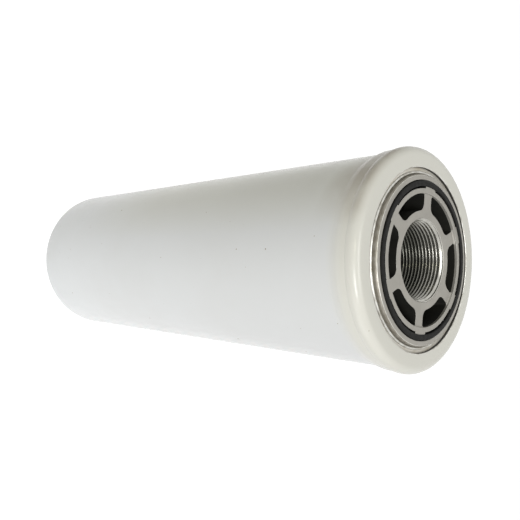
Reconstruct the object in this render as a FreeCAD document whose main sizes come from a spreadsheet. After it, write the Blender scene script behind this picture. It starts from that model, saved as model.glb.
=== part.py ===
import FreeCAD, Part

import math
import os
from types import SimpleNamespace

import Sketcher
from FreeCAD import Vector

# A spin-on hydraulic filter, in millimetres. It stands on the closed end of its can, with the
# can's axis along +Z and the threaded mouth on top. Heights count from the closed end.

# Driving sizes
SIZES = {
    # Can: drawn steel with a shoulder, a wider mouth and a rolled rim
    "rim_height": 335.5,
    "lip_reach": 11.4,
    "can_wall": 1.8,
    "can_corner": 5.0,
    "mouth_step": 1.5,
    "mouth_length": 12.7,
    "shoulder_length": 3.7,
    "shoulder_blend": 6.0,
    "bead_step": 0.7,
    "rim_bend": 4.6,
    "lip_gap": 3.5,
    "lip_edge": 0.4,
    # Retaining ring under the lip
    "ring_land": 0.35,
    "ring_gap": 0.15,
    "ring_edge": 0.5,
    # Cover: cast spider with a threaded hub
    "cover_gap": 0.1,
    "collar_wall": 3.1,
    "collar_rise": 1.1,
    "collar_edge": 0.8,
    "groove_width": 4.6,
    "groove_depth": 4.6,
    "guard_wall": 2.6,
    "guard_rise": 1.2,
    "guard_blend": 0.8,
    "window_reach": 9.1,
    "hub_wall": 4.4,
    "window_tip_round": 1.4,
    "window_root_round": 4.6,
    "spoke_width": 7.0,
    "spoke_count": 6,
    "plate_thickness": 12.0,
    "hub_length": 33.0,
    "spigot_wall": 3.0,
    "spigot_length": 6.5,
    "thread_radius": 22.2,
    "thread_lead": 0.5,
    "skirt_width": 7.5,
    "rib_thickness": 4.5,
    "rib_depth": 9.0,
    "rib_toe": 1.5,
    "rib_bite": 1.5,
    "lug_reach": 1.0,
    "lug_width": 10.0,
    # Seals of the cover
    "gasket_gap": 0.5,
    "gasket_proud": 0.8,
    "gasket_edge": 0.5,
    "seal_groove_width": 3.4,
    "seal_groove_depth": 2.1,
    "seal_groove_drop": 3.0,
    "seal_gap": 0.05,
    "seal_edge": 0.4,
    # Element caps and their adhesive
    "sheet": 1.0,
    "cap_clearance": 5.4,
    "cap_rim": 8.0,
    "cap_bend": 1.5,
    "potting_depth": 5.0,
    "potting_gap": 0.1,
    # Grommet between hub and element
    "grommet_gap": 0.05,
    "grommet_wall": 2.0,
    "grommet_tail": 4.0,
    "grommet_tail_lip": 1.4,
    "grommet_head": 4.0,
    "grommet_head_lip": 2.3,
    # Centre tube
    "core_gap": 0.4,
    "core_wall": 0.8,
    "core_slot_width": 5.0,
    "core_slot_length": 24.0,
    "core_slot_rows": 6,
    "core_slot_columns": 6,
    "core_slot_margin": 22.0,
    # Pleated pack and its bands
    "pack_gap": 0.6,
    "pack_edge": 0.9,
    "pleat_count": 56,
    "media_thickness": 0.8,
    "clip_reach": 4.6,
    "clip_wall": 0.4,
    "clip_width": 3.4,
    "clip_gap": 0.1,
    "band_wall": 0.5,
    "band_width": 8.0,
    # Element spring and its seat
    "spring_height": 18.0,
    "spring_radius": 27.0,
    "spring_wire": 1.75,
    "spring_turns": 2.5,
    "spring_grind": 0.6,
    "seat_sheet": 1.2,
    "seat_flange": 5.25,
    "seat_collar": 4.0,
    "seat_collar_gap": 0.4,
    # Bypass valve
    "port_radius": 12.0,
    "port_height": 6.0,
    "cage_gap": 2.5,
    "cage_flange": 4.0,
    "cage_height": 22.0,
    "cage_guide": 3.0,
    "cage_window_count": 4,
    "cage_window_width": 13.0,
    "cage_window_height": 10.0,
    "cage_window_sill": 6.0,
    "stem_radius": 3.0,
    "stem_gap": 0.05,
    "stem_spare": 1.0,
    "stem_chamfer": 0.6,
    "poppet_land": 3.5,
    "poppet_thickness": 1.5,
    "boss_gap": 1.0,
    "boss_height": 1.0,
    "pin_radius": 3.95,
    "stake_lip": 0.85,
    "stake_height": 0.6,
    "washer_port_gap": 2.5,
    "washer_thickness": 1.0,
    "washer_gap": 0.05,
    "seal_inset": 0.3,
    "seal_thickness": 1.5,
    "valve_spring_radius": 9.0,
    "valve_spring_wire": 1.0,
    "valve_spring_turns": 4.0,
    "valve_spring_grind": 0.3,
}


class Size:
    """A length with its number, for drawing, and its text, for binding to the sheet."""

    def __init__(self, number, text):
        self.number = number
        self.text = text

    def __add__(self, other):
        other = as_size(other)
        return Size(self.number + other.number, f"({self.text} + {other.text})")

    def __sub__(self, other):
        other = as_size(other)
        return Size(self.number - other.number, f"({self.text} - {other.text})")

    def __mul__(self, other):
        other = as_size(other)
        return Size(self.number * other.number, f"({self.text} * {other.text})")

    def __truediv__(self, other):
        other = as_size(other)
        return Size(self.number / other.number, f"({self.text} / {other.text})")

    def __neg__(self):
        return Size(-self.number, f"(0 - {self.text})")

    def leg(self, other):
        """The other leg of a right triangle with this hypotenuse."""
        other = as_size(other)
        number = math.sqrt(self.number ** 2 - other.number ** 2)
        return Size(number, f"sqrt({self.text} ^ 2 - {other.text} ^ 2)")


def as_size(value):
    """A plain number as a Size."""
    return value if isinstance(value, Size) else Size(value, repr(round(value, 9)))


ZERO = as_size(0.0)

# How finely a spring's coil and wire are drawn
ARCS_A_TURN = 4
WIRE_SIDES = 8

doc = FreeCAD.newDocument("HydraulicFilter")
sheet = doc.addObject("Spreadsheet::Sheet", "Sizes")
for row, (name, number) in enumerate(SIZES.items(), start=1):
    sheet.set(f"A{row}", name)
    sheet.set(f"B{row}", str(number))
    sheet.setAlias(f"B{row}", name)
doc.recompute()
d = SimpleNamespace(**{name: Size(number, f"Sizes.{name}") for name, number in SIZES.items()})


# Modelling helpers

def new_body(label, height=ZERO):
    """An empty body whose own zero stands at the given height."""
    body = doc.addObject("PartDesign::Body", label)
    body.Label = label
    body.Placement = FreeCAD.Placement(Vector(0, 0, height.number), FreeCAD.Rotation())
    body.setExpression(".Placement.Base.z", height.text)
    return body


def new_sketch(body, name, plane="XZ_Plane", offset=None):
    """An empty sketch on one of the body's own origin planes."""
    sketch = body.newObject("Sketcher::SketchObject", name)
    support = next(item for item in body.Origin.OriginFeatures if item.Role == plane)
    sketch.AttachmentSupport = [(support, "")]
    sketch.MapMode = "FlatFace"
    if offset is not None:
        sketch.setExpression(".AttachmentOffset.Base.z", offset.text)
    return sketch


def bind(sketch, kind, value, *places):
    """Adds a dimension and binds it to the sheet."""
    index = sketch.addConstraint(Sketcher.Constraint(kind, *places, value.number))
    sketch.setExpression(f"Constraints[{index}]", value.text)


def hold_point(sketch, edge, end, x, y):
    """Holds a point of an edge at its distances from the sketch's origin."""
    for kind, value, axis in (("DistanceX", x, -2), ("DistanceY", y, -1)):
        if value is ZERO:
            sketch.addConstraint(Sketcher.Constraint("PointOnObject", edge, end, axis))
        else:
            bind(sketch, kind, value, -1, 1, edge, end)


def arc_between(start, end, radius, turn):
    """The arc of a radius from start to end, turning left (+1) or right (-1), under half a turn."""
    chord = end - start
    middle = (start + end) * 0.5
    reach = math.sqrt(max(radius ** 2 - (chord.Length / 2) ** 2, 0.0))
    side = Vector(-chord.y, chord.x, 0).normalize()
    centre = middle + side * reach * turn
    first, last = (start, end) if turn > 0 else (end, start)
    angles = [math.atan2(point.y - centre.y, point.x - centre.x) for point in (first, last)]
    return Part.ArcOfCircle(Part.Circle(centre, Vector(0, 0, 1), radius), *angles)


def draw_outline(sketch, steps):
    """A closed outline through steps of (x, y) or (x, y, radius, turn) for a round edge ahead."""
    first = sketch.GeometryCount
    steps = [(as_size(step[0]) if step[0] else ZERO, as_size(step[1]) if step[1] else ZERO,
              *step[2:]) for step in steps]
    corners = [Vector(step[0].number, step[1].number, 0) for step in steps]
    ends = []
    for index, step in enumerate(steps):
        start, end = corners[index], corners[(index + 1) % len(steps)]
        if len(step) == 2:
            sketch.addGeometry(Part.LineSegment(start, end), False)
            ends.append((1, 2))
        else:
            radius, turn = step[2:]
            sketch.addGeometry(arc_between(start, end, radius.number, turn), False)
            ends.append((1, 2) if turn > 0 else (2, 1))
    for index, step in enumerate(steps):
        following = (index + 1) % len(steps)
        sketch.addConstraint(Sketcher.Constraint(
            "Coincident", first + index, ends[index][1], first + following, ends[following][0]))
        hold_point(sketch, first + index, ends[index][0], step[0], step[1])
        if len(step) > 2:
            bind(sketch, "Radius", step[2], first + index)


def draw_circle(sketch, radius, x=ZERO, y=ZERO):
    """A circle with a bound radius and centre."""
    centre = Vector(x.number, y.number, 0)
    index = sketch.addGeometry(Part.Circle(centre, Vector(0, 0, 1), radius.number), False)
    if x is ZERO and y is ZERO:
        sketch.addConstraint(Sketcher.Constraint("Coincident", index, 3, -1, 1))
    else:
        hold_point(sketch, index, 3, x, y)
    bind(sketch, "Radius", radius, index)


def revolve(body, name, steps):
    """Turns an outline of (radius, height) steps round the body's axis."""
    sketch = new_sketch(body, name + "Outline")
    draw_outline(sketch, steps)
    turned = body.newObject("PartDesign::Revolution", name)
    turned.Profile = sketch
    turned.ReferenceAxis = (sketch, ["V_Axis"])
    turned.Angle = 360
    doc.recompute()
    return turned


def ring_edges(feature, places):
    """Names of the feature's full round edges at the given (radius, height) places."""
    names = []
    for index, edge in enumerate(feature.Shape.Edges, start=1):
        if not isinstance(edge.Curve, Part.Circle):
            continue
        for radius, height in places:
            near_radius = abs(edge.Curve.Radius - radius.number) < 1e-4
            near_height = abs(edge.Curve.Center.z - height.number) < 1e-4
            if near_radius and near_height and f"Edge{index}" not in names:
                names.append(f"Edge{index}")
    if len(names) < len(places):
        raise ValueError(f"{feature.Name}: an edge to dress is missing")
    return names


def dress(body, kind, name, places, size):
    """A fillet or chamfer of one size on the tip's round edges at the given places."""
    base = body.Tip
    dressed = body.newObject("PartDesign::" + kind, name)
    dressed.Base = (base, ring_edges(base, places))
    dressed.setExpression("Radius" if kind == "Fillet" else "Size", size.text)
    doc.recompute()
    return dressed


def cut_through(body, name, sketch, reverse=False):
    """Cuts a sketch all the way and checks that it took something off."""
    before = body.Shape.Volume
    pocket = body.newObject("PartDesign::Pocket", name)
    pocket.Profile = sketch
    pocket.Type = "ThroughAll"
    pocket.Reversed = reverse
    doc.recompute()
    if not body.Shape.Volume < before:
        raise ValueError(f"{name} cuts nothing")
    return pocket


def repeat_round(body, feature, count):
    """Repeats a feature round the body's axis."""
    pattern = body.newObject("PartDesign::PolarPattern", feature.Name + "Round")
    pattern.Originals = [feature]
    axis = next(item for item in body.Origin.OriginFeatures if item.Role == "Z_Axis")
    pattern.Axis = (axis, [""])
    pattern.Angle = 360
    pattern.setExpression("Occurrences", count.text)
    body.Tip = pattern
    doc.recompute()
    return pattern


def arc_pair(start, start_way, end, end_way):
    """Two tangent arcs from one point and direction to another."""
    gap = end - start
    ways = start_way + end_way
    turn = 2 * (1 - start_way.dot(end_way))
    reach = (math.sqrt(gap.dot(ways) ** 2 + turn * gap.dot(gap)) - gap.dot(ways)) / turn
    knee, elbow = start + start_way * reach, end - end_way * reach
    joint = (knee + elbow) * 0.5
    arcs = []
    for first, way, last in ((start, start_way, joint), (joint, elbow - knee, end)):
        way = Vector(way).normalize()
        chord = last - first
        side = way.cross(chord).normalize().cross(way)
        radius = chord.dot(chord) / (2 * chord.dot(side))
        half = math.asin(chord.Length / (2 * radius))
        middle = first + side * radius * (1 - math.cos(half)) + way * radius * math.sin(half)
        arcs.append(Part.Arc(first, middle, last).toShape())
    return arcs


def coil_line(name, radius, rise, turns, foot):
    """The centre line of a coil, as tangent arcs between points on its helix."""
    steps = math.ceil(turns.number * ARCS_A_TURN)
    climb = rise.number / turns.number / (2 * math.pi)
    points, ways = [], []
    for step in range(steps + 1):
        angle = 2 * math.pi * turns.number * step / steps
        out = Vector(math.cos(angle), math.sin(angle), 0) * radius.number
        points.append(out + Vector(0, 0, climb * angle))
        ways.append(Vector(-out.y, out.x, climb).normalize())
    arcs = []
    for step in range(steps):
        arcs += arc_pair(points[step], ways[step], points[step + 1], ways[step + 1])
    line = doc.addObject("Part::Feature", name)
    line.Shape = Part.Wire(arcs)
    line.Placement = FreeCAD.Placement(Vector(0, 0, foot.number), FreeCAD.Rotation())
    return line


def coil_spring(label, height, radius, wire, turns, length, grind):
    """A compression spring with ground ends, of the given length between them."""
    foot = height + wire - grind
    line = coil_line(label + "_line", radius, length - (wire - grind) * 2, turns, foot)
    section = doc.addObject("Part::RegularPolygon", label + "_wire")
    section.Polygon = WIRE_SIDES
    section.setExpression("Circumradius", wire.text)
    section.setExpression(".Placement.Base.x", radius.text)
    section.setExpression(".Placement.Base.z", foot.text)
    section.Placement.Rotation = FreeCAD.Rotation(Vector(1, 0, 0), 90)
    coils = doc.addObject("Part::Sweep", label + "_coils")
    coils.Sections = [section]
    coils.Spine = (line, [f"Edge{index + 1}" for index in range(len(line.Shape.Edges))])
    coils.Solid = True
    coils.Frenet = True
    space = doc.addObject("Part::Cylinder", label + "_space")
    space.setExpression("Radius", (radius + wire * 2).text)
    space.setExpression("Height", length.text)
    space.setExpression(".Placement.Base.z", height.text)
    spring = doc.addObject("Part::Common", label)
    spring.Label = label
    spring.Base = coils
    spring.Tool = space
    doc.recompute()


# Radii that several pieces share, from the thread outwards
spigot_radius = d.thread_radius + d.spigot_wall
hub_radius = d.thread_radius + d.hub_wall
window_outer = hub_radius + d.window_reach
groove_inner = window_outer + d.guard_wall
lug_radius = groove_inner + d.lug_reach
groove_outer = groove_inner + d.groove_width
collar_radius = groove_outer + d.collar_wall
lip_radius = collar_radius + d.lip_gap
rim_radius = lip_radius + d.lip_reach
bend_centre_radius = rim_radius - d.rim_bend
mouth_radius = rim_radius - d.bead_step
mouth_bore = mouth_radius - d.can_wall
cover_radius = mouth_bore - d.cover_gap
can_radius = mouth_radius - d.mouth_step
can_bore = can_radius - d.can_wall

# Heights of the can's mouth and the cover
mouth_foot = d.rim_height - d.mouth_length
shoulder_foot = mouth_foot - d.shoulder_length
bend_centre_height = d.rim_height - d.rim_bend
lip_under = d.rim_height - d.can_wall
ring_bend = d.rim_bend - d.can_wall - d.ring_gap
ring_thickness = ring_bend + d.ring_land
ring_foot = lip_under - ring_thickness
cover_foot = d.rim_height - d.hub_length
hub_shoulder = cover_foot + d.spigot_length
collar_top = d.rim_height + d.collar_rise
groove_floor = collar_top - d.groove_depth

# Element and its valve
element_foot = d.can_wall + d.spring_height + d.seat_sheet
element_head = hub_shoulder - d.grommet_head
cap_radius = can_bore - d.cap_clearance
cap_bore = cap_radius - d.sheet
grommet_hole = spigot_radius + d.grommet_wall
core_bore = grommet_hole + d.grommet_tail_lip + d.core_gap
core_radius = core_bore + d.core_wall
media_foot = element_foot + d.sheet + d.potting_depth
media_head = element_head - d.sheet - d.potting_depth
media_length = media_head - media_foot
media_inner = core_radius + d.pack_gap
media_outer = cap_bore - d.pack_edge
clip_tip = media_outer + d.clip_gap + d.clip_wall

port_top = element_foot + d.port_height
poppet_foot = port_top - d.stake_height - d.washer_thickness
pin_length = d.stake_height + d.washer_thickness + d.seal_thickness
poppet_top = pin_length + d.poppet_thickness
poppet_radius = d.port_radius + d.poppet_land
cage_radius = poppet_radius + d.cage_gap + d.sheet
cage_foot = element_foot + d.sheet
cage_top = cage_foot + d.cage_height


# Can: one drawn sheet from the closed end to the lip
def make_can():
    body = new_body("can_shell")
    crease = d.rim_bend.leg(d.rim_bend - d.bead_step)
    crease_height = bend_centre_height - crease
    inner_bend = d.rim_bend - d.can_wall
    revolve(body, "Drawn", [
        (0, 0),
        (can_radius - d.can_corner, 0, d.can_corner, 1),
        (can_radius, d.can_corner),
        (can_radius, shoulder_foot),
        (mouth_radius, mouth_foot),
        (mouth_radius, crease_height, d.rim_bend, 1),
        (bend_centre_radius, d.rim_height),
        (lip_radius, d.rim_height),
        (lip_radius, lip_under),
        (bend_centre_radius, lip_under, inner_bend, -1),
        (rim_radius - d.can_wall, bend_centre_height),
        (mouth_bore, crease_height),
        (mouth_bore, mouth_foot),
        (can_bore, shoulder_foot),
        (can_bore, d.can_corner),
        (can_radius - d.can_corner, d.can_wall),
        (0, d.can_wall),
    ])
    shoulder = [(can_radius, shoulder_foot), (mouth_radius, mouth_foot)]
    dress(body, "Fillet", "ShoulderBlend", shoulder, d.shoulder_blend)
    dress(body, "Chamfer", "LipEdge", [(lip_radius, d.rim_height)], d.lip_edge)
    return body


# Retaining ring: trapped between the cover's rim and the rolled lip
def make_retaining_ring():
    body = new_body("retaining_ring", ring_foot)
    outer = rim_radius - d.can_wall - d.ring_gap
    inner = collar_radius + d.ring_gap
    revolve(body, "Ring", [
        (inner, 0),
        (outer, 0),
        (outer, d.ring_land, ring_bend, 1),
        (bend_centre_radius, ring_thickness),
        (inner, ring_thickness),
    ])
    dress(body, "Chamfer", "InnerEdge", [(inner, ring_thickness)], d.ring_edge)
    return body


# Cover: rim, gasket groove, spider and hub in one casting
def window_steps():
    """Outline of the window between the spoke along +X and the next one."""
    half_width = d.spoke_width / 2
    tip_centre = (window_outer - d.window_tip_round).leg(half_width + d.window_tip_round)
    root_centre = (hub_radius + d.window_root_round).leg(half_width + d.window_root_round)
    tip_share = window_outer / (window_outer - d.window_tip_round)
    root_share = hub_radius / (hub_radius + d.window_root_round)
    half = [
        (root_centre * root_share, (half_width + d.window_root_round) * root_share),
        (root_centre, half_width),
        (tip_centre, half_width),
        (tip_centre * tip_share, (half_width + d.window_tip_round) * tip_share),
    ]
    step = 2 * math.pi / SIZES["spoke_count"]
    cosine, sine = math.cos(step), math.sin(step)
    mirrored = [(x * cosine + y * sine, x * sine - y * cosine) for x, y in reversed(half)]
    rounds = [
        (d.window_root_round, 1), (), (d.window_tip_round, 1), (window_outer, 1),
        (d.window_tip_round, 1), (), (d.window_root_round, 1), (hub_radius, -1),
    ]
    return [(*corner, *bend) for corner, bend in zip(half + mirrored, rounds)]


def make_cover():
    body = new_body("threaded_cover", cover_foot)
    face = d.hub_length
    plate_under = face - d.plate_thickness
    rim_top = ring_foot - cover_foot
    cone_top = mouth_foot - cover_foot
    cone_foot = shoulder_foot - cover_foot
    cone_radius = can_bore - d.cover_gap
    groove_top = rim_top - d.seal_groove_drop
    groove_foot = groove_top - d.seal_groove_width
    groove_radius = cover_radius - d.seal_groove_depth
    skirt_radius = cover_radius - d.skirt_width
    collar = collar_top - cover_foot
    floor = groove_floor - cover_foot
    guard = face + d.guard_rise
    revolve(body, "Casting", [
        (d.thread_radius, 0),
        (spigot_radius, 0),
        (spigot_radius, d.spigot_length),
        (hub_radius, d.spigot_length),
        (hub_radius, plate_under),
        (skirt_radius, plate_under),
        (skirt_radius, cone_foot),
        (cone_radius, cone_foot),
        (cover_radius, cone_top),
        (cover_radius, groove_foot),
        (groove_radius, groove_foot),
        (groove_radius, groove_top),
        (cover_radius, groove_top),
        (cover_radius, rim_top),
        (collar_radius, rim_top),
        (collar_radius, collar),
        (groove_outer, collar),
        (groove_outer, floor),
        (groove_inner, floor),
        (groove_inner, guard),
        (window_outer, guard),
        (window_outer, face),
        (d.thread_radius, face),
    ])
    dress(body, "Chamfer", "CollarEdge", [(collar_radius, collar)], d.collar_edge)
    dress(body, "Chamfer", "ThreadLead", [(d.thread_radius, face)], d.thread_lead)
    dress(body, "Fillet", "GuardBlend", [(window_outer, face)], d.guard_blend)

    lug = new_sketch(body, "LugOutline", "XY_Plane", floor)
    root = (window_outer + groove_inner) / 2
    half_lug = d.lug_width / 2
    lug_corner = lug_radius.leg(half_lug)
    draw_outline(lug, [
        (root, -half_lug),
        (lug_corner, -half_lug, lug_radius, 1),
        (lug_corner, half_lug),
        (root, half_lug),
    ])
    pad = body.newObject("PartDesign::Pad", "Lug")
    pad.Profile = lug
    pad.setExpression("Length", (guard - floor).text)
    doc.recompute()
    repeat_round(body, pad, d.spoke_count)

    rib = new_sketch(body, "RibOutline")
    rib_foot = plate_under - d.rib_depth
    inner = (hub_radius + spigot_radius) / 2
    draw_outline(rib, [
        (inner, rib_foot),
        (hub_radius + d.rib_toe, rib_foot),
        (skirt_radius, plate_under - d.rib_toe),
        (skirt_radius + d.rib_bite, plate_under - d.rib_toe),
        (skirt_radius + d.rib_bite, plate_under + d.rib_bite),
        (inner, plate_under + d.rib_bite),
    ])
    web = body.newObject("PartDesign::Pad", "Rib")
    web.Profile = rib
    web.SideType = "Symmetric"
    web.setExpression("Length", d.rib_thickness.text)
    doc.recompute()
    repeat_round(body, web, d.spoke_count)

    window = new_sketch(body, "WindowOutline", "XY_Plane")
    draw_outline(window, window_steps())
    opening = cut_through(body, "Window", window, reverse=True)
    repeat_round(body, opening, d.spoke_count)
    return body


# Seals of the cover
def make_head_gasket():
    body = new_body("head_gasket", groove_floor)
    inner = lug_radius + d.seal_gap
    outer = groove_outer - d.gasket_gap
    height = d.groove_depth + d.gasket_proud
    revolve(body, "Section", [(inner, 0), (outer, 0), (outer, height), (inner, height)])
    dress(body, "Chamfer", "TopEdges", [(inner, height), (outer, height)], d.gasket_edge)
    return body


def make_cover_seal():
    foot = ring_foot - d.seal_groove_drop - d.seal_groove_width + d.seal_gap
    body = new_body("cover_seal", foot)
    inner = cover_radius - d.seal_groove_depth + d.seal_gap
    outer = mouth_bore - d.seal_gap
    width = d.seal_groove_width - d.seal_gap * 2
    revolve(body, "Section", [(inner, 0), (outer, 0), (outer, width), (inner, width)])
    dress(body, "Chamfer", "OuterEdges", [(outer, ZERO), (outer, width)], d.seal_edge)
    return body


def make_hub_grommet():
    body = new_body("hub_grommet", element_head - d.sheet - d.grommet_tail)
    bore = spigot_radius + d.grommet_gap
    waist = grommet_hole - d.grommet_gap
    tail = grommet_hole + d.grommet_tail_lip
    head = grommet_hole + d.grommet_head_lip
    groove_top = d.grommet_tail + d.sheet
    height = groove_top + d.grommet_head
    revolve(body, "Section", [
        (bore, 0),
        (waist, 0),
        (tail, d.grommet_tail / 2),
        (tail, d.grommet_tail),
        (waist, d.grommet_tail),
        (waist, groove_top),
        (head, groove_top),
        (head, height),
        (bore, height),
    ])
    return body


# Element: two pressed caps glued to a pleated pack round a centre tube
def make_top_cap():
    body = new_body("element_top_cap", element_head - d.cap_rim)
    under = d.cap_rim - d.sheet
    revolve(body, "Pressed", [
        (grommet_hole, under),
        (cap_bore, under),
        (cap_bore, 0),
        (cap_radius, 0),
        (cap_radius, d.cap_rim),
        (grommet_hole, d.cap_rim),
    ])
    dress(body, "Chamfer", "OuterBend", [(cap_radius, d.cap_rim)], d.cap_bend)
    dress(body, "Chamfer", "InnerBend", [(cap_bore, under)], d.cap_bend - d.sheet)
    return body


def make_bottom_cap():
    body = new_body("element_bottom_cap", element_foot)
    neck = d.port_radius + d.sheet
    revolve(body, "Pressed", [
        (d.port_radius, 0),
        (cap_radius, 0),
        (cap_radius, d.cap_rim),
        (cap_bore, d.cap_rim),
        (cap_bore, d.sheet),
        (neck, d.sheet),
        (neck, d.port_height),
        (d.port_radius, d.port_height),
    ])
    outer = [(cap_radius, ZERO), (d.port_radius, ZERO)]
    dress(body, "Chamfer", "OuterBends", outer, d.cap_bend)
    inner = [(cap_bore, d.sheet), (neck, d.sheet)]
    dress(body, "Chamfer", "InnerBends", inner, d.cap_bend - d.sheet)
    return body


def make_potting(label, height):
    body = new_body(label, height)
    inner = core_radius + d.potting_gap
    outer = cap_bore - d.potting_gap
    edge = d.cap_bend - d.sheet
    revolve(body, "Disc", [
        (inner, 0), (outer, 0), (outer, d.potting_depth), (inner, d.potting_depth),
    ])
    cap_side = ZERO if label.startswith("bottom") else d.potting_depth
    dress(body, "Chamfer", "CapSide", [(outer, cap_side)], edge)
    return body


def make_core_tube():
    body = new_body("core_tube", element_foot + d.sheet)
    length = element_head - element_foot - d.sheet * 2
    revolve(body, "Tube", [
        (core_bore, 0), (core_radius, 0), (core_radius, length), (core_bore, length),
    ])
    column = new_sketch(body, "SlotColumn")
    half = d.core_slot_width / 2
    gaps = SIZES["core_slot_rows"] - 1
    spread = length - d.core_slot_margin * 2 - d.core_slot_length
    for row in range(gaps + 1):
        foot = d.core_slot_margin + spread * (row / gaps)
        head = foot + d.core_slot_length
        draw_outline(column, [(-half, foot), (half, foot), (half, head), (-half, head)])
    slots = cut_through(body, "Slots", column)
    repeat_round(body, slots, d.core_slot_columns)
    return body


def fold_line(count, turn, tip_radius, notch_radius, thickness):
    """One side of the pack's zigzag: a flat tip two sheets wide, then a notch, for each pleat."""
    half_pitch = math.pi / count
    corners = []
    for pleat in range(count):
        tip = (2 * pleat + turn) * half_pitch
        for radius, angle in (
            (tip_radius, tip - thickness / tip_radius),
            (tip_radius, tip + thickness / tip_radius),
            (notch_radius, tip + half_pitch),
        ):
            corners.append(Vector(radius * math.cos(angle), radius * math.sin(angle), 0))
    return Part.makePolygon(corners + corners[:1])


def make_media():
    """The pack's folded wall, extruded from its two zigzag sides."""
    count = int(sheet.get("pleat_count"))
    thickness = sheet.get("media_thickness")
    inner = media_inner.number
    outer = media_outer.number
    outer_side = fold_line(count, 0, outer, inner + thickness, thickness)
    inner_side = fold_line(count, 1, inner, outer - thickness, thickness)
    wall = Part.makeFace([outer_side, inner_side], "Part::FaceMakerBullseye")
    media = doc.addObject("Part::Feature", "pleated_media")
    media.Label = "pleated_media"
    media.Shape = wall.extrude(Vector(0, 0, media_length.number))
    media.Placement = FreeCAD.Placement(Vector(0, 0, media_foot.number), FreeCAD.Rotation())
    return media


def make_box(name, length, width, height, x, y, z):
    """A bound box."""
    box = doc.addObject("Part::Box", name)
    for key, value in (("Length", length), ("Width", width), ("Height", height)):
        box.setExpression(key, value.text)
    for key, value in (("x", x), ("y", y), ("z", z)):
        box.setExpression(f".Placement.Base.{key}", value.text)
    return box


def make_seam_clip():
    """A folded strip over one outer fold of the pack."""
    root = clip_tip - d.clip_reach
    slot = d.clip_width - d.clip_wall * 2
    outside = make_box("ClipOutside", d.clip_reach, d.clip_width, media_length,
                       root, -(d.clip_width / 2), media_foot)
    inside = make_box("ClipInside", d.clip_reach - d.clip_wall, slot, media_length,
                      root, -(slot / 2), media_foot)
    clip = doc.addObject("Part::Cut", "seam_clip")
    clip.Label = "seam_clip"
    clip.Base = outside
    clip.Tool = inside
    doc.recompute()
    return clip


def make_band(label, share):
    height = media_foot + media_length * share - d.band_width / 2
    body = new_body(label, height)
    inner = clip_tip + d.clip_gap
    outer = inner + d.band_wall
    revolve(body, "Hoop", [
        (inner, 0), (outer, 0), (outer, d.band_width), (inner, d.band_width),
    ])
    return body


# Spring under the element
def make_element_spring():
    coil_spring("element_spring", d.can_wall, d.spring_radius, d.spring_wire, d.spring_turns,
                d.spring_height, d.spring_grind)


def make_spring_seat():
    body = new_body("spring_seat", element_foot - d.seat_sheet - d.seat_collar)
    collar = d.spring_radius - d.spring_wire - d.seat_collar_gap
    hole = collar - d.seat_sheet
    outer = d.spring_radius + d.spring_wire + d.seat_flange
    height = d.seat_collar + d.seat_sheet
    revolve(body, "Pressed", [
        (hole, 0),
        (collar, 0),
        (collar, d.seat_collar),
        (outer, d.seat_collar),
        (outer, height),
        (hole, height),
    ])
    dress(body, "Chamfer", "CollarBend", [(hole, height)], d.seat_sheet)
    return body


# Bypass valve in the bottom cap
def make_bypass_cage():
    body = new_body("bypass_cage", cage_foot)
    inner = cage_radius - d.sheet
    guide = d.stem_radius + d.stem_gap
    under = d.cage_height - d.sheet
    guide_top = d.cage_height + d.cage_guide
    revolve(body, "Pressed", [
        (guide, under),
        (inner, under),
        (inner, 0),
        (cage_radius + d.cage_flange, 0),
        (cage_radius + d.cage_flange, d.sheet),
        (cage_radius, d.sheet),
        (cage_radius, d.cage_height),
        (guide + d.sheet, d.cage_height),
        (guide + d.sheet, guide_top),
        (guide, guide_top),
    ])
    dress(body, "Chamfer", "Crown", [(cage_radius, d.cage_height)], d.cap_bend)
    window = new_sketch(body, "WindowOutline")
    half = d.cage_window_width / 2
    head = d.cage_window_sill + d.cage_window_height
    draw_outline(window, [
        (-half, d.cage_window_sill), (half, d.cage_window_sill), (half, head), (-half, head),
    ])
    opening = cut_through(body, "Window", window)
    repeat_round(body, opening, d.cage_window_count)
    return body


def make_bypass_poppet():
    body = new_body("bypass_poppet", poppet_foot)
    boss_top = poppet_top + d.boss_height
    stem_top = cage_top + d.cage_guide + d.stem_spare - poppet_foot
    boss = d.valve_spring_radius - d.valve_spring_wire - d.boss_gap
    stake = d.pin_radius + d.stake_lip
    revolve(body, "Turned", [
        (0, 0),
        (stake, 0),
        (stake, d.stake_height),
        (d.pin_radius, d.stake_height),
        (d.pin_radius, pin_length),
        (poppet_radius, pin_length),
        (poppet_radius, poppet_top),
        (boss, poppet_top),
        (boss, boss_top),
        (d.stem_radius, boss_top),
        (d.stem_radius, stem_top),
        (0, stem_top),
    ])
    dress(body, "Chamfer", "StemEnd", [(d.stem_radius, stem_top)], d.stem_chamfer)
    return body


def make_disc(label, height, outer, thickness):
    """A flat disc with a hole for the poppet's pin."""
    body = new_body(label, height)
    hole = d.pin_radius + d.washer_gap
    revolve(body, "Disc", [(hole, 0), (outer, 0), (outer, thickness), (hole, thickness)])
    return body


def make_bypass_spring():
    foot = poppet_foot + poppet_top
    coil_spring("bypass_spring", foot, d.valve_spring_radius, d.valve_spring_wire,
                d.valve_spring_turns, cage_top - d.sheet - foot, d.valve_spring_grind)


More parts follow.
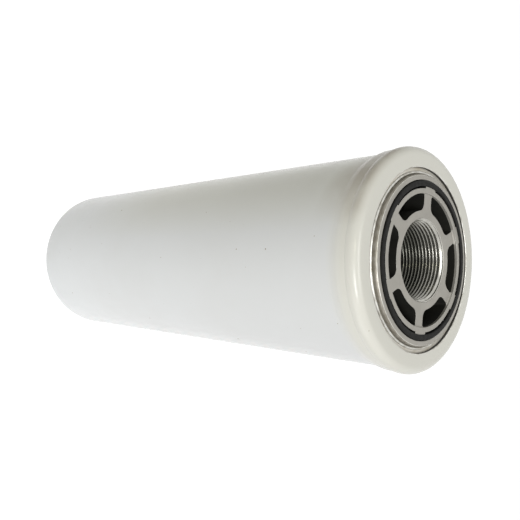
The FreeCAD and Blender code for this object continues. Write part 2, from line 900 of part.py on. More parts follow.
def make_all():
    make_can()
    make_retaining_ring()
    make_cover()
    make_head_gasket()
    make_cover_seal()
    make_hub_grommet()
    make_top_cap()
    make_bottom_cap()
    make_potting("top_potting", media_head)
    make_potting("bottom_potting", element_foot + d.sheet)
    make_core_tube()
    make_media()
    make_seam_clip()
    places = ("lower", "middle", "upper")
    for index, place in enumerate(places, start=1):
        make_band(f"pleat_band_{place}", index / (len(places) + 1))
    make_element_spring()
    make_spring_seat()
    make_bypass_cage()
    make_bypass_poppet()
    make_disc("bypass_washer", poppet_foot + d.stake_height,
              d.port_radius - d.washer_port_gap, d.washer_thickness)
    make_disc("bypass_seal", port_top, poppet_radius - d.seal_inset, d.seal_thickness)
    make_bypass_spring()


def finished_parts():
    """Every sub-part of the document, once nothing in it has failed."""
    doc.recompute()
    for item in doc.Objects:
        if "Invalid" in item.State or "Error" in item.State:
            raise ValueError(f"{item.Name} failed: {item.State}")
    parts = [item for item in doc.Objects
             if item.TypeId in ("PartDesign::Body", "Part::Cut", "Part::Common")
             or item.Label == "pleated_media"]
    for part in parts:
        if part.Shape.isNull() or not part.Shape.isValid() or len(part.Shape.Solids) != 1:
            raise ValueError(f"{part.Label} is not one sound solid")
    return parts


make_all()
os.makedirs("parts", exist_ok=True)
for part in finished_parts():
    part.Shape.exportStep(f"parts/{part.Label}.step")
    print(f"{part.Label}: {part.Shape.Volume / 1000:.2f} cm3")
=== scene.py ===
"""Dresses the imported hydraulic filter: turned pieces, a thread, springs, finishes, a stage."""

import math

import bmesh
import bpy
from bpy.props import FloatProperty, FloatVectorProperty, IntProperty, PointerProperty
from mathutils import Matrix, Vector


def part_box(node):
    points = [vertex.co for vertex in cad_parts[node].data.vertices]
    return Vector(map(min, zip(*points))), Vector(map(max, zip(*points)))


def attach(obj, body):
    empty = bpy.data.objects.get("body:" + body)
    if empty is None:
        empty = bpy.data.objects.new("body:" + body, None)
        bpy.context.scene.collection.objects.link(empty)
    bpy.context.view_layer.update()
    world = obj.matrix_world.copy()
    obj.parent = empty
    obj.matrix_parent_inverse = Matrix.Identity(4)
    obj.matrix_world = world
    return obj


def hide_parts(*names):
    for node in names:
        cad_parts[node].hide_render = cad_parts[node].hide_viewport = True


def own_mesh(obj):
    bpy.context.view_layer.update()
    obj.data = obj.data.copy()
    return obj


bl_info = {
    "name": "Hydraulic Filter",
    "version": (1, 0, 0),
    "blender": (4, 5, 0),
    "location": "View3D > Sidebar > Filter",
    "description": "Builds the looks of a spin-on hydraulic filter round its packed solids",
    "category": "Object",
}

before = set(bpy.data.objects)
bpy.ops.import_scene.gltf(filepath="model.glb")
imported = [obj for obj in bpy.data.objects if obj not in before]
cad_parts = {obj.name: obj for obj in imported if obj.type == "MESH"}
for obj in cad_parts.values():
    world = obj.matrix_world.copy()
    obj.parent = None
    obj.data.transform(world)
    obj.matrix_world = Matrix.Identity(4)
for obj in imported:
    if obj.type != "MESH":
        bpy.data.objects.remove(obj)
RIM_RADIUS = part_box("can_shell")[1].x
RIM_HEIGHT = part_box("can_shell")[1].z
GASKET_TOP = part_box("head_gasket")[1].z
GASKET_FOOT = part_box("head_gasket")[0].z
GASKET_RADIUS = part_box("head_gasket")[1].x
HUB_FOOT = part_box("threaded_cover")[0].z
COLLAR_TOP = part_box("threaded_cover")[1].z
COLLAR_RISE = 0.0012
HUB_FACE = COLLAR_TOP - COLLAR_RISE
HOUSING = "filter"
# Directions from the axis: towards the painted shade band on the upper shoulder, and towards the
# side tinted with painted warm light
SHADED_SHOULDER_SIDE = (-0.31, 0.95, 0)
WARM_LIT_SIDE = (0.375, 0.927, 0)
# A face counts as level when its normal's rise is above this
LEVEL = 0.9
# Lengths below this count as nothing, and vertices closer than this are merged
TINY = 1e-6


# Sizes and colours

def length(name, default, description):
    return FloatProperty(name=name, default=default, min=0, precision=5, unit="LENGTH",
                         description=description)


def colour(name, default, description):
    return FloatVectorProperty(name=name, default=default, min=0, max=1, size=3,
                               subtype="COLOR", description=description)


class CanSizes(bpy.types.PropertyGroup):
    body_radius: length("Body radius", 0.0587, "Radius of the can's straight wall")
    wall: length("Wall", 0.0018, "Thickness of the drawn sheet")
    corner: length("Corner", 0.005, "Outer bend of the closed end")
    mouth_radius: length("Mouth radius", 0.0602, "Radius of the wider mouth")
    mouth_length: length("Mouth length", 0.0127, "From the mouth's lower edge to the rim")
    shoulder_length: length("Shoulder length", 0.0037, "Length of the slope up to the mouth")
    bead_radius: length("Bead radius", 0.0046, "Outer bend of the rolled rim")
    lip_radius: length("Lip radius", 0.0495, "Radius of the lip's cut edge")
    lip_round: length("Lip round", 0.0005, "Painted round of the lip's cut edge")
    curl: length("Curl", 0.0008, "Radius of the retaining ring's rolled inner edge")
    steps: IntProperty(name="Steps", default=256, min=48, description="Facets in one turn")


class CoverSizes(bpy.types.PropertyGroup):
    edge_round: length("Edge round", 0.0006, "Cast rounding of the windows and ribs")
    thread_radius: length("Thread radius", 0.0222, "Root radius of the hub's thread")
    crest_radius: length("Crest radius", 0.02108, "Radius that the thread's crests reach in to")
    pitch: length("Pitch", 0.002117, "Rise of the thread in one turn")
    lead: length("Lead", 0.0005, "Chamfer at the mouth of the threaded bore")
    # Faces lower than this below the casting's face get the painted recess shade
    unshaded_depth: length("Clean depth", 0.0002, "How far the casting stays clean below its face")
    rub_and_highlight_edge: length("Rubbed edge", 0.0003, "Bright strip at the top of the collar's slope")
    guard_radius: length("Guard radius", 0.0383, "Outer radius of the guard ring inside the gasket")
    gasket_inner: length("Gasket inner radius", 0.03935, "Inner radius of the head gasket")
    collar_radius: length("Collar radius", 0.046, "Outer radius of the collar inside the ring")


class SpringSizes(bpy.types.PropertyGroup):
    element_radius: length("Element coil", 0.027, "Coil radius of the element's spring")
    element_wire: length("Element wire", 0.00175, "Wire radius of the element's spring")
    element_turns: FloatProperty(name="Element turns", default=2.5, min=1,
                                 description="Turns of the element's spring")
    valve_radius: length("Valve coil", 0.009, "Coil radius of the bypass spring")
    valve_wire: length("Valve wire", 0.001, "Wire radius of the bypass spring")
    valve_turns: FloatProperty(name="Valve turns", default=4, min=1,
                               description="Turns of the bypass spring")


class FinishColours(bpy.types.PropertyGroup):
    paint: colour("Paint", (0.715, 0.728, 0.745), "Gloss paint of the can")
    # Painted light: the paint is lighter by the closed end, standing in for more light falling
    # there
    paint_lit_end: colour("Clean paint", (0.79, 0.812, 0.842), "Gloss paint by the closed end")
    # Painted light: a warm tint on the upper side of the can stands in for warm light falling on
    # that side
    warm_lit_paint: colour("Aged paint", (0.72, 0.722, 0.655), "Faintly yellowed paint on one side")
    # Painted shade: a brown band on the upper side of the shoulder, below the rim
    shoulder_shade: colour("Stain", (0.44, 0.40, 0.335), "Brown film from handling, by the mouth")
    # Partly rubbed metal, partly a painted highlight: a bright metallic colour for the lip's round,
    # the ring's curl and the collar's top strip
    lip: colour("Lip", (0.74, 0.735, 0.70), "Paint rubbed bright on the lip's edge")
    lip_dull: colour("Dull lip", (0.42, 0.40, 0.35), "Tarnish of the lip's edge")
    paint_shade: colour("Paint shade", (0.66, 0.66, 0.65), "Faint clouding of the paint")
    cream: colour("Cream", (0.715, 0.71, 0.664), "Yellowed paint of the mouth")
    fleck: colour("Fleck", (0.36, 0.31, 0.24), "Specks in the paint")
    inside: colour("Inside", (0.09, 0.088, 0.08), "Oiled bare steel inside the can")
    inside_dull: colour("Dull inside", (0.13, 0.12, 0.10), "Dried oil inside the can")
    casting: colour("Casting", (0.39, 0.375, 0.345), "Cast aluminium of the cover")
    burnish: colour("Burnish", (0.56, 0.555, 0.53), "Rubbed edges of the casting")
    # Painted shade: near-black colour for the casting's recesses, windows and groove, where shade
    # falls
    painted_shade: colour("Film", (0.016, 0.016, 0.014), "Dark oil film in the casting's recesses")
    painted_shade_pale: colour("Dry film", (0.022, 0.021, 0.018), "Dried patches of the dark film")
    # Painted shade: the collar's wall, between the collar and the lip, is browned and darkened
    # where shade falls
    collar_wall_shade: colour("Grime", (0.33, 0.31, 0.27), "Brown film on the collar's wall")
    collar_wall_shade_dark: colour("Dark grime", (0.20, 0.18, 0.145), "Darker patches on the collar's wall")
    machined: colour("Machined", (0.52, 0.51, 0.47), "Cut faces of the thread by the mouth")
    # Partly oil, partly painted shade: the thread's colour darkens deeper in the bore
    oiled: colour("Oiled", (0.15, 0.15, 0.13), "Oiled faces of the thread, deep in the bore")
    ring: colour("Ring", (0.62, 0.60, 0.55), "Plated steel of the retaining ring")
    ring_warm: colour("Warm ring", (0.50, 0.46, 0.38), "Tarnish of the retaining ring")
    # Painted shade: the lip's sheared edge is near black, standing in for the shadow in the gap
    # under the lip
    lip_edge_shade: colour("Cut edge", (0.012, 0.012, 0.011), "Bare sheared edge of the lip")
    lip_edge_shade_pale: colour("Dull cut edge", (0.04, 0.036, 0.03), "Tarnish of the sheared edge")
    rubber: colour("Rubber", (0.009, 0.009, 0.0085), "Black rubber of the seals")
    bloom: colour("Bloom", (0.022, 0.022, 0.021), "Grey bloom of the rubber")
    plating: colour("Plating", (0.50, 0.50, 0.50), "Zinc plating of the inner pressings")
    plating_warm: colour("Warm plating", (0.62, 0.60, 0.52), "Straw tint of the plating")
    phosphate: colour("Phosphate", (0.035, 0.035, 0.034), "Phosphated steel of the element's caps")
    phosphate_pale: colour("Pale phosphate", (0.06, 0.058, 0.052), "Pale grain of the caps")
    media: colour("Media", (0.80, 0.77, 0.68), "Filter medium")
    media_shade: colour("Media shade", (0.62, 0.58, 0.48), "Fibres of the filter medium")
    adhesive: colour("Adhesive", (0.20, 0.09, 0.04), "Adhesive under the caps")
    adhesive_thin: colour("Thin adhesive", (0.28, 0.14, 0.06), "Thin places of the adhesive")
    band: colour("Band", (0.85, 0.85, 0.82), "Plastic bands")
    band_shade: colour("Band shade", (0.76, 0.76, 0.72), "Clouding of the bands")
    spring: colour("Spring", (0.10, 0.10, 0.11), "Oil-tempered spring wire")
    mill_scale: colour("Scale", (0.20, 0.18, 0.16), "Scale on the spring wire")


# Materials

class Finish:
    """A Principled material that is built up node by node."""

    def __init__(self, name, base, roughness, metallic=0.0, coat=0.0):
        self.material = bpy.data.materials.new(name)
        self.material.use_nodes = True
        self.nodes = self.material.node_tree.nodes
        self.links = self.material.node_tree.links
        self.shader = self.nodes["Principled BSDF"]
        self.shader.inputs["Base Color"].default_value = (*base, 1)
        self.shader.inputs["Roughness"].default_value = roughness
        self.shader.inputs["Metallic"].default_value = metallic
        self.shader.inputs["Coat Weight"].default_value = coat
        self.shader.inputs["Coat Roughness"].default_value = 0.08
        self.place = self.nodes.new("ShaderNodeTexCoord").outputs["Object"]

    def add(self, kind, **sockets):
        node = self.nodes.new(kind)
        for name, value in sockets.items():
            socket = node.inputs[name.replace("_", " ")]
            if isinstance(value, bpy.types.NodeSocket):
                self.links.new(value, socket)
            else:
                socket.default_value = value
        return node

    def stretched(self, scale):
        """The place on the piece, stretched along its axes."""
        return self.add("ShaderNodeMapping", Vector=self.place, Scale=scale).outputs["Vector"]

    def grain(self, scale, detail=3.0, roughness=0.5, place=None):
        """A noise between 0 and 1."""
        return self.add("ShaderNodeTexNoise", Vector=place or self.place, Scale=scale,
                        Detail=detail, Roughness=roughness).outputs["Fac"]

    def height(self):
        """The height above the closed end."""
        return self.add("ShaderNodeSeparateXYZ", Vector=self.place).outputs["Z"]

    def towards(self, direction):
        """How far the place lies from the axis in a direction."""
        node = self.add("ShaderNodeVectorMath")
        node.operation = "DOT_PRODUCT"
        self.links.new(self.place, node.inputs[0])
        node.inputs[1].default_value = direction
        return node.outputs["Value"]

    def product(self, first, *others):
        """The product of several values."""
        for other in others:
            node = self.add("ShaderNodeMath")
            node.operation = "MULTIPLY"
            self.links.new(first, node.inputs[0])
            self.links.new(other, node.inputs[1])
            first = node.outputs[0]
        return first

    def between(self, value, low, high, to_low=0.0, to_high=1.0):
        """Maps low..high of a value to another range."""
        node = self.add("ShaderNodeMapRange", Value=value, From_Min=low, From_Max=high,
                        To_Min=to_low, To_Max=to_high)
        return node.outputs["Result"]

    def blend(self, share, first, second):
        """A colour between two others."""
        node = self.nodes.new("ShaderNodeMix")
        node.data_type = "RGBA"
        self.links.new(share, node.inputs["Factor"])
        ends = [item for item in node.inputs if item.type == "RGBA"]
        for end, shade in zip(ends, (first, second)):
            if isinstance(shade, bpy.types.NodeSocket):
                self.links.new(shade, end)
            else:
                end.default_value = (*shade, 1)
        return next(item for item in node.outputs if item.type == "RGBA")

    def tint(self, shade):
        self.links.new(shade, self.shader.inputs["Base Color"])

    def patches(self, scale, detail, low, high, first, second):
        """Tints the surface with patches of a second colour."""
        self.tint(self.blend(self.between(self.grain(scale, detail), low, high), first, second))

    def gloss(self, scale, detail, low, high):
        """Varies the roughness between two values."""
        value = self.between(self.grain(scale, detail), 0.3, 0.7, low, high)
        self.links.new(value, self.shader.inputs["Roughness"])

    def relief(self, value, depth, strength=1.0):
        """Bumps of a depth in metres."""
        bump = self.add("ShaderNodeBump", Height=value, Distance=depth, Strength=strength)
        self.links.new(bump.outputs["Normal"], self.shader.inputs["Normal"])


# A roughness range that crosses 0.27 comes out blotchy in a denoised picture, so none does

def make_paint(colours):
    finish = Finish("gloss_white", colours.paint, 0.23, coat=0.15)
    finish.shader.inputs["Specular IOR Level"].default_value = 0.25
    height = finish.height()
    # Painted light: the paint grows lighter towards the closed end
    along = finish.blend(finish.between(height, 0, 0.26), colours.paint_lit_end, colours.paint)
    # Painted light: the upper side of the can is tinted warm, as if lit by warm light
    warm_lit = finish.product(finish.between(finish.towards(WARM_LIT_SIDE), 0.015, 0.05),
                              finish.between(height, 0.05, 0.15))
    warm_lit_paint = finish.blend(warm_lit, along, colours.warm_lit_paint)
    cloud = finish.between(finish.grain(14, 4), 0.45, 0.75, 0.0, 0.25)
    clouded = finish.blend(cloud, warm_lit_paint, colours.paint_shade)
    near_mouth = finish.between(height, RIM_HEIGHT - 0.02, RIM_HEIGHT - 0.009)
    warm = finish.blend(near_mouth, clouded, colours.cream)
    # Painted shade: a patchy brown band on the upper side of the shoulder, fading out towards the
    # rim
    shoulder_shading = finish.product(finish.between(finish.towards(SHADED_SHOULDER_SIDE), 0.05, 0.0595),
                             finish.between(height, RIM_HEIGHT - 0.032, RIM_HEIGHT - 0.012),
                             finish.between(height, RIM_HEIGHT - 0.003, RIM_HEIGHT, 1, 0),
                             finish.between(finish.grain(45, 3), 0.3, 0.6, 0.45, 1))
    shoulder_shaded = finish.blend(shoulder_shading, warm, colours.shoulder_shade)
    specks = finish.between(finish.grain(420, 1), 0.808, 0.825)
    finish.tint(finish.blend(specks, shoulder_shaded, colours.fleck))
    finish.gloss(60, 3, 0.19, 0.26)
    finish.relief(finish.grain(330, 2), 0.00006, 0.4)
    return finish.material


def make_inside(colours):
    finish = Finish("can_inside", colours.inside, 0.4, metallic=0.6)
    finish.patches(50, 4, 0.35, 0.7, colours.inside, colours.inside_dull)
    finish.gloss(200, 3, 0.32, 0.5)
    return finish.material


def make_casting(colours):
    finish = Finish("bare_casting", colours.casting, 0.5, metallic=0.25)
    finish.shader.inputs["Specular IOR Level"].default_value = 0.3
    finish.patches(120, 4, 0.35, 0.7, colours.casting,
                   tuple(share * 0.9 for share in colours.casting))
    finish.gloss(300, 3, 0.42, 0.56)
    finish.relief(finish.grain(900, 4, 0.6), 0.00006, 0.5)
    return finish.material


def make_burnish(colours):
    finish = Finish("cast_edge", colours.burnish, 0.34, metallic=0.6)
    # Painted shade: rounded edges below the face take the painted recess shade
    deep = finish.between(finish.height(), HUB_FACE - 0.0007, HUB_FACE - 0.0003, 1, 0)
    rubbed = finish.blend(finish.between(finish.grain(500, 3), 0.4, 0.7), colours.burnish,
                          tuple(share * 0.8 for share in colours.burnish))
    finish.tint(finish.blend(deep, rubbed, colours.painted_shade))
    finish.gloss(700, 2, 0.28, 0.42)
    return finish.material


def make_recess_shade(colours):
    # Painted shade: a near-black colour for the casting's recesses, where shade falls
    finish = Finish("cast_recess", colours.painted_shade, 0.7)
    finish.shader.inputs["Specular IOR Level"].default_value = 0.15
    finish.patches(150, 4, 0.4, 0.7, colours.painted_shade, colours.painted_shade_pale)
    finish.relief(finish.grain(700, 3), 0.00005, 0.5)
    return finish.material


def make_collar_wall_shade(colours):
    # Painted shade: a darker brown colour on the collar's wall, in the shade of the lip
    finish = Finish("cast_wall", colours.collar_wall_shade, 0.45, metallic=0.3)
    finish.patches(260, 4, 0.35, 0.7, colours.collar_wall_shade, colours.collar_wall_shade_dark)
    finish.gloss(500, 2, 0.34, 0.55)
    finish.relief(finish.grain(320, 3), 0.0002, 0.6)
    return finish.material


def make_machined(colours):
    finish = Finish("cut_thread", colours.machined, 0.28, metallic=0.9)
    # Painted shade: the thread's colour darkens deeper in the bore, while the grain patches of oil
    # are real
    unshaded = finish.between(finish.height(), HUB_FACE - 0.016, HUB_FACE - 0.002)
    along = finish.blend(unshaded, colours.oiled, colours.machined)
    oily = finish.between(finish.grain(260, 3), 0.4, 0.7, 0, 0.3)
    finish.tint(finish.blend(oily, along, colours.oiled))
    finish.gloss(200, 2, 0.19, 0.265)
    return finish.material


def make_ring_steel(colours):
    finish = Finish("bright_ring", colours.ring, 0.42, metallic=0.35)
    finish.patches(90, 3, 0.4, 0.7, colours.ring, colours.ring_warm)
    finish.gloss(500, 3, 0.36, 0.5)
    finish.relief(finish.grain(800, 2), 0.00003, 0.4)
    return finish.material


def make_rub_and_highlight(colours):
    # Partly rubbed metal, partly a painted highlight on thin rounded edges
    finish = Finish("rub_and_highlight", colours.lip, 0.3, metallic=0.5)
    finish.patches(220, 3, 0.4, 0.7, colours.lip, colours.lip_dull)
    finish.gloss(400, 2, 0.28, 0.4)
    return finish.material


def make_lip_edge_shade(colours):
    # Painted shade: a near-black colour on the lip's sheared edge, where shade falls
    finish = Finish("lip_edge_shade", colours.lip_edge_shade, 0.5)
    shear = finish.grain(900, 3, place=finish.stretched((1, 1, 0.2)))
    finish.tint(finish.blend(finish.between(shear, 0.5, 0.75),
                             colours.lip_edge_shade, colours.lip_edge_shade_pale))
    finish.relief(shear, 0.00008, 0.5)
    return finish.material


def make_rubber(colours):
    finish = Finish("black_rubber", colours.rubber, 0.6)
    finish.shader.inputs["Specular IOR Level"].default_value = 0.12
    bloomed = finish.between(finish.grain(240, 4), 0.45, 0.75, 0.0, 0.5)
    finish.tint(finish.blend(bloomed, colours.rubber, colours.bloom))
    finish.gloss(500, 2, 0.5, 0.66)
    finish.relief(finish.grain(1500, 2), 0.00003, 0.5)
    return finish.material


def make_plating(colours):
    finish = Finish("zinc_plating", colours.plating, 0.34, metallic=0.95)
    finish.patches(70, 5, 0.4, 0.65, colours.plating, colours.plating_warm)
    finish.gloss(260, 3, 0.28, 0.44)
    finish.relief(finish.grain(900, 2), 0.00004, 0.4)
    return finish.material


def make_phosphate(colours):
    finish = Finish("phosphated_steel", colours.phosphate, 0.5, metallic=0.3)
    finish.patches(180, 5, 0.4, 0.65, colours.phosphate, colours.phosphate_pale)
    finish.gloss(400, 3, 0.42, 0.6)
    finish.relief(finish.grain(1200, 2), 0.00003, 0.4)
    return finish.material


def make_media_finish(colours):
    finish = Finish("pleat_cloth", colours.media, 0.85)
    fibres = finish.grain(1400, 5, 0.7, finish.stretched((1, 1, 0.35)))
    mesh_rows = finish.add("ShaderNodeTexWave", Vector=finish.place, Scale=300.0, Distortion=0.4)
    mesh_rows.bands_direction = "Z"
    finish.tint(finish.blend(finish.between(fibres, 0.35, 0.7),
                             colours.media, colours.media_shade))
    finish.relief(mesh_rows.outputs["Fac"], 0.0001, 0.5)
    return finish.material


def make_adhesive(colours):
    finish = Finish("adhesive", colours.adhesive, 0.35)
    finish.tint(finish.blend(finish.grain(80, 3), colours.adhesive, colours.adhesive_thin))
    finish.relief(finish.grain(120, 2), 0.0003, 0.4)
    return finish.material


def make_band_finish(colours):
    finish = Finish("band_plastic", colours.band, 0.35)
    finish.tint(finish.blend(finish.grain(160, 2), colours.band, colours.band_shade))
    finish.relief(finish.grain(700, 2), 0.00003, 0.4)
    return finish.material


def make_spring_steel(colours):
    finish = Finish("spring_wire", colours.spring, 0.36, metallic=0.8)
    crust = finish.grain(420, 4)
    finish.tint(finish.blend(finish.between(crust, 0.4, 0.7), colours.spring, colours.mill_scale))
    finish.relief(crust, 0.00005, 0.4)
    return finish.material


MAKERS = {
    "gloss_white": make_paint,
    "can_inside": make_inside,
    "bare_casting": make_casting,
    "cast_edge": make_burnish,
    "cast_recess": make_recess_shade,
    "cast_wall": make_collar_wall_shade,
    "cut_thread": make_machined,
    "bright_ring": make_ring_steel,
    "rub_and_highlight": make_rub_and_highlight,
    "lip_edge_shade": make_lip_edge_shade,
    "black_rubber": make_rubber,
    "zinc_plating": make_plating,
    "phosphated_steel": make_phosphate,
    "pleat_cloth": make_media_finish,
    "adhesive": make_adhesive,
    "band_plastic": make_band_finish,
    "spring_wire": make_spring_steel,
}


def finish_named(name):
    """The finish of that name, made on first use."""
    return bpy.data.materials.get(name) or MAKERS[name](bpy.context.scene.finish_colours)


# Mesh helpers

def run(bm, end, x, z):
    """Draws a straight run of an outline from its end vertex."""
    new = bmesh.ops.extrude_vert_indiv(bm, verts=[end])["verts"][0]
    new.co = (x, 0, z)
    return new


def bend(bm, end, x, z, degrees, steps):
    """Draws a round run about a centre, counting degrees from +X to +Z."""
    made = bmesh.ops.spin(bm, geom=[end], cent=(x, 0, z), axis=(0, -1, 0),
                          angle=math.radians(degrees), steps=steps)
    return next(item for item in made["geom_last"] if isinstance(item, bmesh.types.BMVert))


def turn(bm, steps):
    """Turns the drawn outline round the Z axis into a closed skin."""
    bmesh.ops.spin(bm, geom=bm.verts[:] + bm.edges[:], cent=(0, 0, 0), axis=(0, 0, 1),
                   angle=math.tau, steps=steps, use_merge=True)
    bmesh.ops.remove_doubles(bm, verts=bm.verts[:], dist=TINY / 10)
    bmesh.ops.recalc_face_normals(bm, faces=bm.faces[:])


def as_piece(bm, name, finishes, body=HOUSING, sharp=30):
    """Makes a mesh object that rides on a body, smooth up to an angle."""
    mesh = bpy.data.meshes.new(name)
    bm.to_mesh(mesh)
    bm.free()
    mesh.shade_smooth()
    mesh.set_sharp_from_angle(angle=math.radians(sharp))
    piece = bpy.data.objects.new(name, mesh)
    bpy.context.scene.collection.objects.link(piece)
    for finish in finishes:
        mesh.materials.append(finish_named(finish))
    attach(piece, body)
    return piece


def copy_node(name):
    """A merged copy of a node's mesh, with its flat faces whole."""
    bm = bmesh.new()
    bm.from_mesh(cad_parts[name].data)
    bmesh.ops.remove_doubles(bm, verts=bm.verts[:], dist=TINY)
    bmesh.ops.dissolve_limit(bm, angle_limit=math.radians(0.5), verts=bm.verts[:],
                             edges=bm.edges[:])
    return bm


# Pieces

class FILTER_OT_can(bpy.types.Operator):
    """Turns the drawn can with its shoulder, mouth and rolled rim"""
    bl_idname = "filter.can"
    bl_label = "Can"

    def execute(self, context):
        s = context.scene.can_sizes
        bead_x = RIM_RADIUS - s.bead_radius
        bead_z = RIM_HEIGHT - s.bead_radius
        lean = math.acos((s.mouth_radius - bead_x) / s.bead_radius)
        crease = bead_z - s.bead_radius * math.sin(lean)
        mouth = RIM_HEIGHT - s.mouth_length
        shoulder = mouth - s.shoulder_length
        inner = s.body_radius - s.wall
        blend, ease, crease_run = 0.0012, 0.0001, 0.0004
        bm = bmesh.new()
        end = bm.verts.new((0, 0, 0))
        end = run(bm, end, s.body_radius - s.corner, 0)
        end = bend(bm, end, s.body_radius - s.corner, s.corner, 90, 10)
        end = run(bm, end, s.body_radius, shoulder - blend)
        end = run(bm, end, s.body_radius + ease, shoulder)
        end = run(bm, end, s.mouth_radius - ease, mouth)
        end = run(bm, end, s.mouth_radius, mouth + blend)
        end = run(bm, end, s.mouth_radius, crease - crease_run)
        end = run(bm, end, s.mouth_radius, crease)
        end = bend(bm, end, bead_x, bead_z, math.degrees(lean) + 90, 20)
        end = run(bm, end, s.lip_radius + s.lip_round, RIM_HEIGHT)
        end = bend(bm, end, s.lip_radius + s.lip_round, RIM_HEIGHT - s.lip_round, 90, 6)
        end = run(bm, end, s.lip_radius, RIM_HEIGHT - s.wall)
        end = run(bm, end, bead_x, RIM_HEIGHT - s.wall)
        end = bend(bm, end, bead_x, bead_z, -90, 8)
        end = run(bm, end, s.mouth_radius - s.wall, crease)
        end = run(bm, end, s.mouth_radius - s.wall, mouth)
        end = run(bm, end, inner, shoulder)
        end = run(bm, end, inner, s.corner)
        end = bend(bm, end, s.body_radius - s.corner, s.corner, -90, 8)
        run(bm, end, 0, s.wall)
        turn(bm, s.steps)
        finishes = ["gloss_white", "lip_edge_shade", "can_inside", "rub_and_highlight"]
        can = as_piece(bm, "painted_can", finishes)
        for face in can.data.polygons:
            reach, height = face.center.xy.length, face.center.z
            on_lip = reach < s.lip_radius + s.lip_round * 0.9
            faces_in = face.normal.xy.dot(face.center.xy) < -TINY
            level_inside = (abs(face.normal.z) > LEVEL
                            and s.wall / 2 < height < RIM_HEIGHT - s.wall / 2)
            # The lip's round gets the bright metal, partly rubbed, partly a painted highlight
            if on_lip and height > RIM_HEIGHT - s.lip_round * 0.8:
                face.material_index = finishes.index("rub_and_highlight")
            # Painted shade: the lip's sheared edge below its round gets the near-black painted
            # shade
            elif on_lip and height > RIM_HEIGHT - s.wall:
                face.material_index = finishes.index("lip_edge_shade")
            elif faces_in or level_inside:
                face.material_index = finishes.index("can_inside")
        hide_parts("can_shell")
        return {"FINISHED"}


class FILTER_OT_cover(bpy.types.Operator):
    """Rounds the cast cover's windows, ribs and edges"""
    bl_idname = "filter.cover"
    bl_label = "Cover"

    def execute(self, context):
        s = context.scene.cover_sizes
        # A strip at the top of the collar's slope is partly rubbed bright, partly a painted
        # highlight
        rubbed = COLLAR_TOP - s.rub_and_highlight_edge
        unshaded = HUB_FACE - s.unshaded_depth
        bm = copy_node("threaded_cover")
        for height in (rubbed, unshaded):
            bmesh.ops.bisect_plane(bm, geom=bm.verts[:] + bm.edges[:] + bm.faces[:],
                                   plane_co=(0, 0, height), plane_no=(0, 0, 1))
        finishes = ["bare_casting", "cast_edge", "cast_recess", "cast_wall", "cut_thread",
                    "rub_and_highlight"]
        cover = as_piece(bm, "cast_cover", finishes)
        slack, slope, hub_wall = 0.0003, 0.0009, 0.002
        for face in cover.data.polygons:
            corners = [cover.data.vertices[index].co for index in face.vertices]
            reach = sum(corner.xy.length for corner in corners) / len(corners)
            height = sum(corner.z for corner in corners) / len(corners)
            upright = abs(face.normal.z) <= LEVEL
            in_groove = upright and s.guard_radius - slack < reach < s.gasket_inner
            # Painted shade: faces sunk below the face, and the groove's walls, take the painted
            # recess shade
            sunk = reach > s.thread_radius + hub_wall and height < unshaded
            if upright and reach < s.thread_radius + slack:
                finish = "cut_thread"
            elif upright and s.collar_radius - slope < reach < s.collar_radius + slack:
                # The collar's slope below the bright strip takes the painted wall shade
                finish = "cast_wall" if height < rubbed else "rub_and_highlight"
            else:
                finish = "cast_recess" if in_groove or sunk else "bare_casting"
            face.material_index = finishes.index(finish)
        edges = cover.modifiers.new("cast_edges", "BEVEL")
        edges.material = finishes.index("cast_edge")
        edges.width = s.edge_round
        edges.segments = 3
        edges.limit_method = "ANGLE"
        edges.angle_limit = math.radians(50)
        edges.use_clamp_overlap = True
        edges.harden_normals = False
        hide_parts("threaded_cover")
        return {"FINISHED"}


